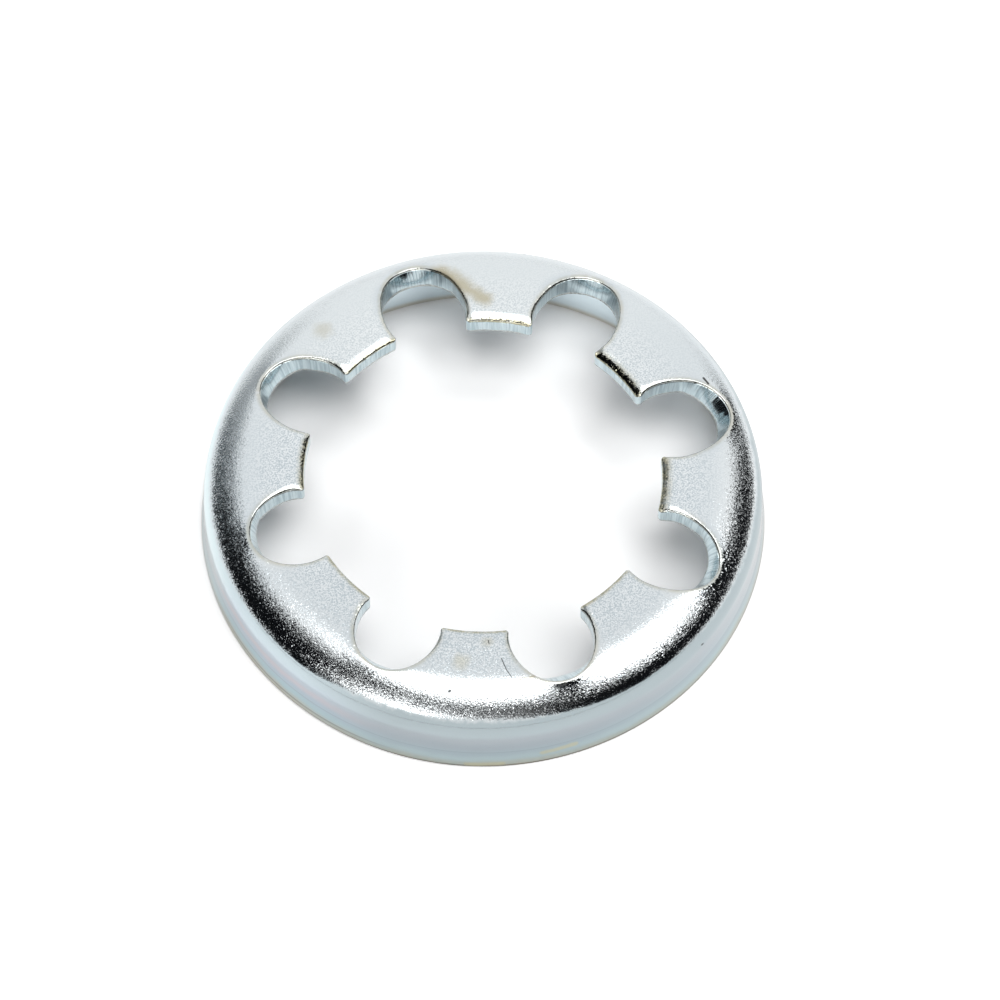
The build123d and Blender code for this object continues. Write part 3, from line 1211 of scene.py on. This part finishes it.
def soft_box(name, place, size, radiance, aim=None, roll=0.0):
    """A rectangular area lamp of a given brightness, turned to a point, or flat overhead."""
    lamp = bpy.data.lights.new(name, "AREA")
    lamp.shape = "RECTANGLE"
    lamp.size, lamp.size_y = size
    lamp.energy = radiance * math.pi * size[0] * size[1]
    box = bpy.data.objects.new(name, lamp)
    box.location = place
    box.rotation_euler = (0, 0, math.radians(studio_turn))
    if aim is not None:
        facing = (place - aim).to_track_quat("Z", "Y")
        box.rotation_euler = (facing.to_matrix() @ Matrix.Rotation(math.radians(roll), 3, "Z")).to_euler()
    box.visible_camera = False
    bpy.context.scene.collection.objects.link(box)
    return box


overhead_size = (0.655, 0.41)
overhead_place = Matrix.Rotation(math.radians(studio_turn), 3, "Z") @ Vector((0.1725, -0.08, 0.60))
overhead = soft_box("overhead_soft_box", overhead_place, overhead_size, 1.7)
low_front_place = studio_way(-122, 41) * small_lamp_distance
low_front = soft_box("low_front_soft_box", low_front_place, (0.30, 0.12), 2.2, axis_foot, -24)
print("overhead lamp:", round(overhead.data.energy, 2), "W, low lamp:", round(low_front.data.energy, 2), "W")

# %% Lamps for the paper only
floor_light = soft_box("floor_light", overhead_place, overhead_size, 2.75)
floor_light.visible_glossy = False
for name, bearing, tall, radiance in (("right_floor_light", 60, 60, 7.4), ("left_floor_light", 150, 50, 5.5),
                                      ("front_floor_light", -119, 34, 4.8)):
    small_place = studio_way(bearing, tall) * small_lamp_distance
    small_light = soft_box(name, small_place, (0.25, 0.14), radiance, axis_foot)
    small_light.visible_glossy = False
    print(name, round(small_light.data.energy, 2), "W")

# %% [markdown]
# ### Cloths and cards
# In white surroundings polished metal looks like chalk. Black velvet hung round the washer gives
# it the dark bands that draw its crown and shoulder, and slate, blue and grey cards soften the
# ends of the bands. Every panel is a piece of a dome, given by its lower and upper border, and the
# camera doesn't see it.

# %% Panels round the washer
cloth_distance = 0.45
panel_columns, panel_rows = 40, 12


def panel(name, material, outline_low_high, distance=cloth_distance):
    """A panel round the washer, given as (bearing, lowest height, highest height) in degrees."""
    bearings, lows, highs = np.array(outline_low_high, float).T
    across = np.linspace(bearings[0], bearings[-1], panel_columns)
    low, high = np.interp(across, bearings, lows), np.interp(across, bearings, highs)
    corners = [studio_way(bearing, bottom + (top - bottom) * share) * distance
               for share in np.linspace(0, 1, panel_rows) for bearing, bottom, top in zip(across, low, high)]
    firsts = [row * panel_columns + column
              for row in range(panel_rows - 1) for column in range(panel_columns - 1)]
    quads = [(first, first + 1, first + panel_columns + 1, first + panel_columns) for first in firsts]
    panel_mesh = bpy.data.meshes.new(name)
    panel_mesh.from_pydata([tuple(c) for c in corners], [], quads)
    panel_mesh.materials.append(material)
    made = bpy.data.objects.new(name, panel_mesh)
    made.visible_camera = False
    bpy.context.scene.collection.objects.link(made)
    return made


def matt_material(name, colour, glow=0.0):
    """A cloth or card without shine. A card that should look paler than its light glows a little."""
    made = bpy.data.materials.new(name)
    made.use_nodes = True
    sockets = made.node_tree.nodes["Principled BSDF"].inputs
    sockets["Base Color"].default_value = (*colour, 1)
    sockets["Roughness"].default_value = 1.0
    sockets["Specular IOR Level"].default_value = 0.0
    sockets["Emission Color"].default_value = (1, 1, 1, 1)
    sockets["Emission Strength"].default_value = glow
    return made


print("panels stand", cloth_distance, "m from the washer")

# %% Cloths and cards
slate_distance = 0.44
velvet = matt_material("black_velvet", (0.012, 0.013, 0.015))
card = matt_material("grey_card", (0.1, 0.1, 0.1), 0.1)
pale_blue = matt_material("pale_blue_card", (0.10, 0.12, 0.13), 0.36)
slate = matt_material("slate_card", (0.06, 0.08, 0.09), 0.10)
panel("right_cloth", velvet, ((-68, 24, 70), (-56, 15, 68), (-47, 10, 62), (-38, 7, 54), (-20, 5, 47),
                              (0, 5, 45), (15, 6, 45), (25, 6, 43), (35, 6, 38), (42, 6, 27), (52, 8, 12)))
panel("left_cloth", velvet, ((153, 6, 45), (162, 6, 50), (172, 6, 55), (180, 6, 60), (200, 6, 66),
                             (212, 8, 70), (219, 14, 70), (223, 30, 69)))
panel("upper_cloth", velvet, ((222, 51, 71), (226, 51, 72), (236, 49, 70), (250, 44, 67), (262, 41, 64)))
panel("slate_card", slate, ((132, 6, 14), (142, 6, 30), (153, 6, 45)), slate_distance)
panel("pale_blue_card", pale_blue, ((118, 8, 24), (133, 8, 42), (148, 6, 49), (153, 6, 50)))
panel("camera_card", card, ((-98, 42, 64), (-90, 40, 64), (-82, 36, 66), (-75, 30, 68), (-68, 24, 70)))
print("three black cloths and three cards")

# %% [markdown]
# ## Colour
# The standard view shows a colour as it is written.

# %% Finish
bpy.context.scene.view_settings.view_transform = "Standard"
